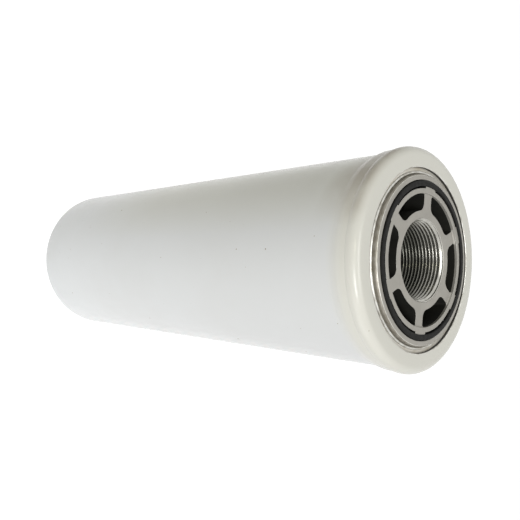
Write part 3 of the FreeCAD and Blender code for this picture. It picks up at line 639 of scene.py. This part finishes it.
class FILTER_OT_thread(bpy.types.Operator):
    """Winds the thread's ridge up the hub's bore"""
    bl_idname = "filter.thread"
    bl_label = "Thread"

    def execute(self, context):
        s = context.scene.cover_sizes
        steps = 128
        start_depth, foot_depth, bite = 0.0008, 0.0003, 0.0001
        root = s.thread_radius + bite
        half_foot = s.pitch * 0.45
        turns = int((HUB_FACE - HUB_FOOT - start_depth - foot_depth - 2 * half_foot) / s.pitch)
        low = HUB_FACE - start_depth - half_foot - turns * s.pitch
        flank, shoulder = 0.00025, 0.00008
        crest = [(s.crest_radius + flank, 0.17), (s.crest_radius + shoulder, 0.11),
                 (s.crest_radius, 0.04)]
        corners = [(root, -half_foot), *((x, -share * s.pitch) for x, share in crest),
                   *((x, share * s.pitch) for x, share in reversed(crest)), (root, half_foot)]
        bm = bmesh.new()
        outline = [bm.verts.new((x, 0, low + z)) for x, z in corners]
        for number, corner in enumerate(outline):
            bm.edges.new((outline[number - 1], corner))
        bmesh.ops.spin(bm, geom=bm.verts[:] + bm.edges[:], cent=(0, 0, 0), axis=(0, 0, 1),
                       dvec=(0, 0, s.pitch / steps), angle=math.tau, steps=steps)
        one_turn = bm.verts[:] + bm.edges[:] + bm.faces[:]
        for number in range(1, turns + 1):
            copied = bmesh.ops.duplicate(bm, geom=one_turn)["geom"]
            moved = [item for item in copied if isinstance(item, bmesh.types.BMVert)]
            bmesh.ops.translate(bm, vec=(0, 0, number * s.pitch), verts=moved)
        bmesh.ops.remove_doubles(bm, verts=bm.verts[:], dist=TINY)
        bmesh.ops.bisect_plane(bm, geom=bm.verts[:] + bm.edges[:] + bm.faces[:],
                               plane_co=(0, 0, HUB_FACE - s.lead), plane_no=(0, 0, 1),
                               clear_outer=True)
        bmesh.ops.holes_fill(bm, edges=bm.edges[:], sides=0)
        # The ridge rises from the wall at the hub's foot and ends in the chamfer at the mouth
        fade = s.pitch * 0.3
        for vert in bm.verts:
            radius = vert.co.xy.length
            risen = min(1, max(0, (vert.co.z - low + half_foot) / fade))
            wanted = root + (radius - root) * risen if radius < root - 10 * TINY else radius
            chamfer = s.thread_radius + s.lead - (HUB_FACE - vert.co.z)
            vert.co.xy *= min(root, max(wanted, chamfer)) / radius
        bmesh.ops.recalc_face_normals(bm, faces=bm.faces[:])
        thread = as_piece(bm, "hub_thread", ["cut_thread"], sharp=50)
        return {"FINISHED"}


class FILTER_OT_retaining_ring(bpy.types.Operator):
    """Turns the bright ring under the lip"""
    bl_idname = "filter.retaining_ring"
    bl_label = "Retaining ring"

    def execute(self, context):
        s = context.scene.can_sizes
        low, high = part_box("retaining_ring")
        gap, edge, fillet, lift = 0.00015, 0.0002, 0.0004, 0.0001
        inner = context.scene.cover_sizes.collar_radius + gap
        bend_x = RIM_RADIUS - s.bead_radius
        corner = high.x - bend_x
        bm = bmesh.new()
        start = bm.verts.new((inner + edge, 0, low.z))
        end = run(bm, start, high.x, low.z)
        end = run(bm, end, high.x, high.z - corner)
        end = bend(bm, end, bend_x, high.z - corner, 90, 8)
        end = run(bm, end, inner + 2 * s.curl + fillet, high.z)
        end = run(bm, end, inner + 2 * s.curl, high.z + lift)
        end = bend(bm, end, inner + s.curl, high.z + lift, 180, 12)
        end = run(bm, end, inner, low.z + edge)
        bmesh.ops.contextual_create(bm, geom=[end, start])
        turn(bm, s.steps)
        finishes = ["bright_ring", "rub_and_highlight"]
        ring = as_piece(bm, "steel_ring", finishes)
        for face in ring.data.polygons:
            # The curl's top gets the bright metal, partly rubbed, partly a painted highlight
            if face.center.z > high.z + lift:
                face.material_index = finishes.index("rub_and_highlight")
        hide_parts("retaining_ring")
        return {"FINISHED"}


class FILTER_OT_gasket(bpy.types.Operator):
    """Turns the head gasket with its moulded edges"""
    bl_idname = "filter.gasket"
    bl_label = "Head gasket"

    def execute(self, context):
        s = context.scene.cover_sizes
        inner, outer, edge = s.gasket_inner, GASKET_RADIUS, 0.0006
        bm = bmesh.new()
        start = bm.verts.new((inner, 0, GASKET_FOOT))
        end = run(bm, start, outer, GASKET_FOOT)
        end = run(bm, end, outer, GASKET_TOP - edge)
        end = bend(bm, end, outer - edge, GASKET_TOP - edge, 90, 6)
        end = run(bm, end, inner + edge, GASKET_TOP)
        end = bend(bm, end, inner + edge, GASKET_TOP - edge, 90, 6)
        bmesh.ops.contextual_create(bm, geom=[end, start])
        turn(bm, context.scene.can_sizes.steps)
        gasket = as_piece(bm, "rubber_gasket", ["black_rubber"])
        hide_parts("head_gasket")
        return {"FINISHED"}


def wind(name, radius, wire, turns, low, high):
    """A round-wire spring with ground ends between two heights."""
    bm = bmesh.new()
    steps_a_turn, sides = 64, 16
    grind = wire * 0.3
    rise = high - low - 2 * (wire - grind)
    count = round(turns * steps_a_turn)
    bmesh.ops.create_circle(bm, cap_ends=True, segments=sides, radius=wire)
    bmesh.ops.rotate(bm, verts=bm.verts[:], cent=(0, 0, 0),
                     matrix=Matrix.Rotation(math.pi / 2, 3, "X"))
    bmesh.ops.translate(bm, verts=bm.verts[:], vec=(radius, 0, low + wire - grind))
    bmesh.ops.spin(bm, geom=bm.faces[:], cent=(0, 0, 0), axis=(0, 0, 1),
                   dvec=(0, 0, rise / count), angle=math.tau * turns, steps=count)
    for height, normal in ((low, (0, 0, -1)), (high, (0, 0, 1))):
        cut = bmesh.ops.bisect_plane(bm, geom=bm.verts[:] + bm.edges[:] + bm.faces[:],
                                     plane_co=(0, 0, height), plane_no=normal, clear_outer=True)
        rim = [item for item in cut["geom_cut"] if isinstance(item, bmesh.types.BMEdge)]
        bmesh.ops.holes_fill(bm, edges=rim, sides=0)
    bmesh.ops.recalc_face_normals(bm, faces=bm.faces[:])
    return as_piece(bm, name, ["spring_wire"])


class FILTER_OT_springs(bpy.types.Operator):
    """Winds the element spring and the bypass spring"""
    bl_idname = "filter.springs"
    bl_label = "Springs"

    def execute(self, context):
        s = context.scene.spring_sizes
        low, high = (corner.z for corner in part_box("element_spring"))
        spring = wind("element_coil", s.element_radius, s.element_wire, s.element_turns,
                      low, high)
        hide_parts("element_spring")
        low, high = (corner.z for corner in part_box("bypass_spring"))
        spring = wind("bypass_coil", s.valve_radius, s.valve_wire, s.valve_turns,
                      low, high)
        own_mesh(spring)
        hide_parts("bypass_spring")
        return {"FINISHED"}


INNER_FINISHES = {
    "element_top_cap": "phosphated_steel",
    "element_bottom_cap": "phosphated_steel",
    "core_tube": "zinc_plating",
    "seam_clip": "zinc_plating",
    "spring_seat": "zinc_plating",
    "bypass_cage": "zinc_plating",
    "bypass_poppet": "zinc_plating",
    "bypass_washer": "zinc_plating",
    "cover_seal": "black_rubber",
    "hub_grommet": "black_rubber",
    "bypass_seal": "black_rubber",
    "top_potting": "adhesive",
    "bottom_potting": "adhesive",
    "pleated_media": "pleat_cloth",
    "pleat_band_lower": "band_plastic",
    "pleat_band_middle": "band_plastic",
    "pleat_band_upper": "band_plastic",
}


class FILTER_OT_element(bpy.types.Operator):
    """Gives the pieces inside the can their finishes"""
    bl_idname = "filter.element"
    bl_label = "Element"

    def execute(self, context):
        for name, finish in INNER_FINISHES.items():
            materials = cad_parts[name].data.materials
            materials.clear()
            materials.append(finish_named(finish))
        return {"FINISHED"}


# Stage

FLOOR_REACH = 6
FLOOR_DROP = 0.0002
# Just enough to show as pure white
PAPER_GLOW = 1.35
SKY_GLOW = 1.362
# The camera's axes and place, and the side of the can that faces it
RIGHT = Vector((0.661034, -0.265461, 0.701829))
UP = Vector((0.374606, 0.927182, -0.002133))
BACK = Vector((-0.650157, 0.264319, 0.712342))
STAND = Vector((-0.254864, 0.103552, 0.490466))
FACING = Vector((-0.926, 0.377, 0))


def soft_lamp(name, place, aim, width, height, power, spread=180, tone=(1, 1, 1)):
    """A rectangular lamp that the camera doesn't see."""
    lamp = bpy.data.lights.new(name, "AREA")
    lamp.shape = "RECTANGLE"
    lamp.size = width
    lamp.size_y = height
    lamp.energy = power
    lamp.color = tone
    lamp.spread = math.radians(spread)
    holder = bpy.data.objects.new(name, lamp)
    holder.location = place
    holder.visible_camera = False
    holder.rotation_euler = (Vector(aim) - Vector(place)).to_track_quat("-Z", "Y").to_euler()
    bpy.context.scene.collection.objects.link(holder)


def whiten(tree, shader, output, strength, share=0.7):
    """Turns a share of a surface white where the camera or a clear or shiny surface sees it."""
    path = tree.nodes.new("ShaderNodeLightPath")
    seen = path.outputs["Is Camera Ray"]
    for name in ("Is Glossy Ray", "Is Transmission Ray"):
        either = tree.nodes.new("ShaderNodeMath")
        either.operation = "MAXIMUM"
        tree.links.new(seen, either.inputs[0])
        tree.links.new(path.outputs[name], either.inputs[1])
        seen = either.outputs[0]
    scale = tree.nodes.new("ShaderNodeMath")
    scale.operation = "MULTIPLY"
    scale.inputs[1].default_value = share
    tree.links.new(seen, scale.inputs[0])
    glow = tree.nodes.new("ShaderNodeEmission")
    glow.inputs["Strength"].default_value = strength
    both = tree.nodes.new("ShaderNodeMixShader")
    tree.links.new(scale.outputs[0], both.inputs["Fac"])
    tree.links.new(shader, both.inputs[1])
    tree.links.new(glow.outputs[0], both.inputs[2])
    tree.links.new(both.outputs[0], output)


class FILTER_OT_stage(bpy.types.Operator):
    """Sets the floor, the lamps and the camera"""
    bl_idname = "filter.stage"
    bl_label = "Stage"

    def execute(self, context):
        scene = context.scene
        bm = bmesh.new()
        bmesh.ops.create_grid(bm, x_segments=1, y_segments=1, size=FLOOR_REACH)
        bmesh.ops.translate(bm, verts=bm.verts[:], vec=(0, 0, -FLOOR_DROP))
        mesh = bpy.data.meshes.new("floor")
        bm.to_mesh(mesh)
        bm.free()
        floor = bpy.data.objects.new("floor", mesh)
        scene.collection.objects.link(floor)
        paper = bpy.data.materials.new("white_paper")
        paper.use_nodes = True
        shader = paper.node_tree.nodes["Principled BSDF"]
        shader.inputs["Base Color"].default_value = (0.9, 0.9, 0.9, 1)
        shader.inputs["Roughness"].default_value = 0.9
        shader.inputs["Specular IOR Level"].default_value = 0.1
        output = paper.node_tree.nodes["Material Output"].inputs["Surface"]
        whiten(paper.node_tree, shader.outputs[0], output, PAPER_GLOW)
        paper.cycles.emission_sampling = "NONE"
        mesh.materials.append(paper)

        world = bpy.data.worlds.new("studio")
        world.use_nodes = True
        scene.world = world
        background = world.node_tree.nodes["Background"]
        background.inputs["Color"].default_value = (1, 0.985, 0.84, 1)
        background.inputs["Strength"].default_value = 0.16
        output = world.node_tree.nodes["World Output"].inputs["Surface"]
        whiten(world.node_tree, background.outputs[0], output, SKY_GLOW)

        body = Vector((0, 0, 0.2))
        mouth = Vector((0, 0, RIM_HEIGHT))
        window_side = Vector((-0.564, 0.427, 0.707))
        soft_lamp("front_light", body + BACK * 1.5 - UP * 0.5, body,
                  width=0.55, height=0.55, power=11.8)
        soft_lamp("low_light", FACING * 0.75 - UP * 0.9 + body * 1.5, body,
                  width=0.9, height=0.5, power=2.6)
        soft_lamp("mouth_light", body + BACK * 1.0 + RIGHT * 1.2, mouth,
                  width=0.7, height=0.7, power=0.85, spread=60)
        soft_lamp("window_light", mouth + window_side * 1.2, mouth,
                  width=0.16, height=0.16, power=1.2, tone=(1, 0.97, 0.72))

        lens = bpy.data.cameras.new("camera")
        lens.lens = 39.39
        lens.sensor_width = 36
        lens.clip_start = 0.01
        camera = bpy.data.objects.new("camera", lens)
        turned = Matrix((RIGHT, UP, BACK)).transposed().to_4x4()
        camera.matrix_world = Matrix.Translation(STAND) @ turned
        scene.collection.objects.link(camera)
        scene.camera = camera
        scene.view_settings.view_transform = "Standard"
        return {"FINISHED"}


# Add-on

class FILTER_PT_build(bpy.types.Panel):
    """Lists the filter's sizes and steps"""
    bl_idname = "FILTER_PT_build"
    bl_label = "Hydraulic Filter"
    bl_space_type = "VIEW_3D"
    bl_region_type = "UI"
    bl_category = "Filter"

    def draw(self, context):
        layout = self.layout
        for title, group in (("Can", context.scene.can_sizes), ("Cover", context.scene.cover_sizes),
                             ("Springs", context.scene.spring_sizes),
                             ("Finishes", context.scene.finish_colours)):
            box = layout.box()
            box.label(text=title)
            for name in group.__annotations__:
                box.prop(group, name)
        for operator in OPERATORS:
            layout.operator(operator.bl_idname)


GROUPS = {
    "can_sizes": CanSizes,
    "cover_sizes": CoverSizes,
    "spring_sizes": SpringSizes,
    "finish_colours": FinishColours,
}
OPERATORS = (
    FILTER_OT_stage,
    FILTER_OT_can,
    FILTER_OT_cover,
    FILTER_OT_thread,
    FILTER_OT_retaining_ring,
    FILTER_OT_gasket,
    FILTER_OT_springs,
    FILTER_OT_element,
)


def register():
    for item in (*GROUPS.values(), *OPERATORS, FILTER_PT_build):
        bpy.utils.register_class(item)
    for name, group in GROUPS.items():
        setattr(bpy.types.Scene, name, PointerProperty(type=group))


def unregister():
    for name in GROUPS:
        delattr(bpy.types.Scene, name)
    for item in reversed((*GROUPS.values(), *OPERATORS, FILTER_PT_build)):
        bpy.utils.unregister_class(item)


def main():
    """Builds everything."""
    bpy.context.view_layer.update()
    register()
    for operator in (bpy.ops.filter.stage, bpy.ops.filter.can, bpy.ops.filter.cover,
                     bpy.ops.filter.thread, bpy.ops.filter.retaining_ring, bpy.ops.filter.gasket,
                     bpy.ops.filter.springs, bpy.ops.filter.element):
        operator()


if __name__ == "__main__":
    main()
